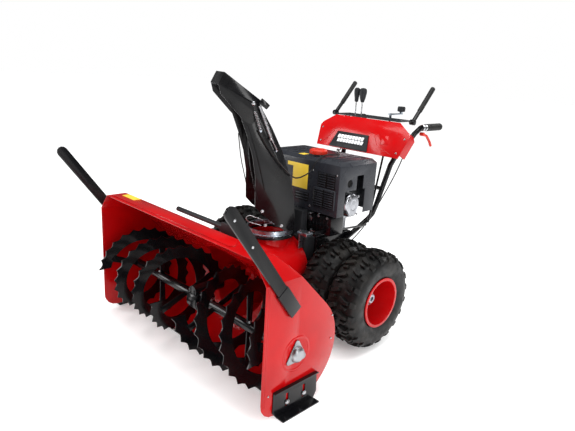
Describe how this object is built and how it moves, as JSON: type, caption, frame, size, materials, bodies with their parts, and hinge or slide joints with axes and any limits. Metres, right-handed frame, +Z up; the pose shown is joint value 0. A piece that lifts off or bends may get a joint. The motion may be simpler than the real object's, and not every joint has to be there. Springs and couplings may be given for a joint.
{
  "type": "snow blower",
  "caption": "Walk-behind two-stage snow blower: wide auger bucket, impeller and turning chute, engine, dual wheels, handlebar with dashboard, levers and bails.",
  "frame": {"origin": "on the floor, under the middle of the machine's overall box", "axes": "+Z up, -Y ahead towards the auger bucket, +Y back towards the handles, +X to the right as seen from the front"},
  "size_m": [1.1386, 1.5909, 1.089],
  "materials": {
    "red_enamel": "glossy red baked enamel on sheet steel",
    "black_enamel": "semi-gloss black enamel on steel",
    "black_plastic": "moulded black plastic, fine texture",
    "rubber": "matt black rubber",
    "tyre": "black tyre rubber with raised lugs",
    "zinc_plate": "zinc-plated steel",
    "chrome": "bright pressed cover",
    "cast_aluminium": "as-cast aluminium",
    "bare_steel": "bare ground steel",
    "lamp_lens": "clear lens over white reflectors"
  },
  "bodies": {
    "frame": {"auger_cable": "rubber", "auger_gearbox": "black_enamel", "bearing_cover_left": "zinc_plate", "bearing_cover_right": "zinc_plate", "belt_cover": "black_plastic", "bucket_side_left": "red_enamel", "bucket_side_right": "red_enamel", "bucket_wrap": "red_enamel", "chassis": "black_enamel", "chute_flange": "black_enamel", "control_deck": "black_plastic", "dashboard": "red_enamel", "deflector_cable": "rubber", "drift_cutter_left": "black_enamel", "drift_cutter_right": "black_enamel", "drive_belt": "rubber", "engine_block": "cast_aluminium", "engine_shroud": "black_plastic", "grip_left": "rubber", "grip_right": "rubber", "handle_frame": "black_enamel", "headlight": "lamp_lens", "impeller_drum": "red_enamel", "rocker_cover": "chrome", "scraper_blade": "black_enamel", "skid_shoe_left": "black_enamel", "skid_shoe_right": "black_enamel", "traction_cable": "rubber", "worm_bracket": "zinc_plate"},
    "augers": {"auger_shaft": "bare_steel", "auger_right": "black_enamel", "auger_left": "black_enamel"},
    "impeller": {"impeller": "black_enamel"},
    "crankshaft": {"crankshaft": "bare_steel"},
    "wheels_right": {"axle_right": "bare_steel", "rim_right_inner": "red_enamel", "rim_right_outer": "red_enamel", "tyre_right_inner": "tyre", "tyre_right_outer": "tyre"},
    "wheels_left": {"axle_left": "bare_steel", "rim_left_inner": "red_enamel", "rim_left_outer": "red_enamel", "tyre_left_inner": "tyre", "tyre_left_outer": "tyre"},
    "chute": {"chute_ring": "zinc_plate", "chute_body": "black_enamel", "deflector_spring": "zinc_plate"},
    "deflector": {"deflector_hood": "black_enamel"},
    "crank": {"chute_crank": "zinc_plate"},
    "upper_rod": {"upper_rod": "black_enamel"},
    "lower_rod": {"lower_rod": "black_enamel"},
    "shift_lever": {"shift_lever": "black_plastic"},
    "deflector_lever": {"deflector_lever": "black_plastic"},
    "bail_right": {"bail_right": "black_enamel"},
    "bail_left": {"bail_left": "black_enamel"},
    "trigger_right": {"trigger_right": "red_enamel"},
    "trigger_left": {"trigger_left": "red_enamel"},
    "fuel_cap": {"fuel_cap": "red_enamel"},
    "recoil_handle": {"recoil_handle": "black_plastic"},
    "shovel": {"clean_out_shovel": "black_plastic"}
  },
  "joints": [
    {"name": "auger_spin", "type": "hinge", "parent": "frame", "child": "augers", "pos_m": [0, -0.4765, 0.212], "axis": [1, 0, 0], "continuous": true},
    {"name": "impeller_spin", "type": "hinge", "parent": "frame", "child": "impeller", "pos_m": [0, -0.4765, 0.254], "axis": [0, 1, 0], "continuous": true},
    {"name": "crankshaft_spin", "type": "hinge", "parent": "frame", "child": "crankshaft", "pos_m": [0, 0.0065, 0.475], "axis": [0, 1, 0], "continuous": true},
    {"name": "wheels_right_spin", "type": "hinge", "parent": "frame", "child": "wheels_right", "pos_m": [0, 0.0835, 0.21], "axis": [1, 0, 0], "continuous": true},
    {"name": "wheels_left_spin", "type": "hinge", "parent": "frame", "child": "wheels_left", "pos_m": [0, 0.0835, 0.21], "axis": [1, 0, 0], "continuous": true},
    {"name": "chute_turn", "type": "hinge", "parent": "frame", "child": "chute", "pos_m": [0, -0.1245, 0.4356], "axis": [0, 0, 1], "range_deg": [-73, 127], "deforming": ["deflector_cable"]},
    {"name": "deflector_tilt", "type": "hinge", "parent": "chute", "child": "deflector", "pos_m": [-0.0504, -0.2234, 0.978], "axis": [0.891, -0.454, 0], "range_deg": [-8, 50], "deforming": ["deflector_spring"]},
    {"name": "crank_turn", "type": "hinge", "parent": "frame", "child": "crank", "pos_m": [0.112, 0.5355, 0.9], "axis": [0, 0, 1], "range_deg": [-440, 765]},
    {"name": "upper_rod_turn", "type": "hinge", "parent": "frame", "child": "upper_rod", "pos_m": [0.19, 0.3305, 0.432], "axis": [-0.1671, 0.4392, 0.8827], "range_deg": [-440, 765]},
    {"name": "lower_rod_turn", "type": "hinge", "parent": "frame", "child": "lower_rod", "pos_m": [0.163, -0.0165, 0.441], "axis": [0.0775, 0.9967, -0.0259], "range_deg": [-440, 765]},
    {"name": "shift_lever_throw", "type": "hinge", "parent": "frame", "child": "shift_lever", "pos_m": [-0.075, 0.5505, 0.85], "axis": [1, 0, 0], "range_deg": [-22, 22]},
    {"name": "deflector_lever_throw", "type": "hinge", "parent": "frame", "child": "deflector_lever", "pos_m": [-0.113, 0.5505, 0.85], "axis": [1, 0, 0], "range_deg": [-10, 22]},
    {"name": "bail_right_press", "type": "hinge", "parent": "frame", "child": "bail_right", "pos_m": [0.235, 0.5405, 0.905], "axis": [1, 0, 0], "range_deg": [-44, 0], "stiffness_Nm_per_rad": 4, "springref_deg": 6.88},
    {"name": "bail_left_press", "type": "hinge", "parent": "frame", "child": "bail_left", "pos_m": [-0.235, 0.5405, 0.905], "axis": [1, 0, 0], "range_deg": [-44, 0], "stiffness_Nm_per_rad": 4, "springref_deg": 6.88},
    {"name": "trigger_right_squeeze", "type": "hinge", "parent": "frame", "child": "trigger_right", "pos_m": [0.235, 0.6375, 0.846], "axis": [1, 0, 0], "range_deg": [0, 16], "stiffness_Nm_per_rad": 1.5, "springref_deg": -6.88},
    {"name": "trigger_left_squeeze", "type": "hinge", "parent": "frame", "child": "trigger_left", "pos_m": [-0.235, 0.6375, 0.846], "axis": [1, 0, 0], "range_deg": [0, 16], "stiffness_Nm_per_rad": 1.5, "springref_deg": -6.88},
    {"name": "fuel_cap_turn", "type": "hinge", "parent": "frame", "child": "fuel_cap", "pos_m": [0.055, 0.1005, 0.762], "axis": [0, 0, 1], "range_deg": [0, 90]},
    {"name": "recoil_pull", "type": "slide", "parent": "frame", "child": "recoil_handle", "axis": [0, 1, 0], "range_m": [0, 0.35], "stiffness_N_per_m": 30, "springref_m": -0.05},
    {"name": "shovel_lift", "type": "slide", "parent": "frame", "child": "shovel", "axis": [0, 0, 1], "range_m": [0, 0.22]}
  ],
  "couplings": [
    {"joint": "impeller_spin", "follows": "auger_spin", "ratio": 10},
    {"joint": "crank_turn", "follows": "chute_turn", "ratio": 6},
    {"joint": "upper_rod_turn", "follows": "chute_turn", "ratio": 6},
    {"joint": "lower_rod_turn", "follows": "chute_turn", "ratio": 6},
    {"joint": "deflector_lever_throw", "follows": "deflector_tilt", "ratio": 0.4}
  ]
}
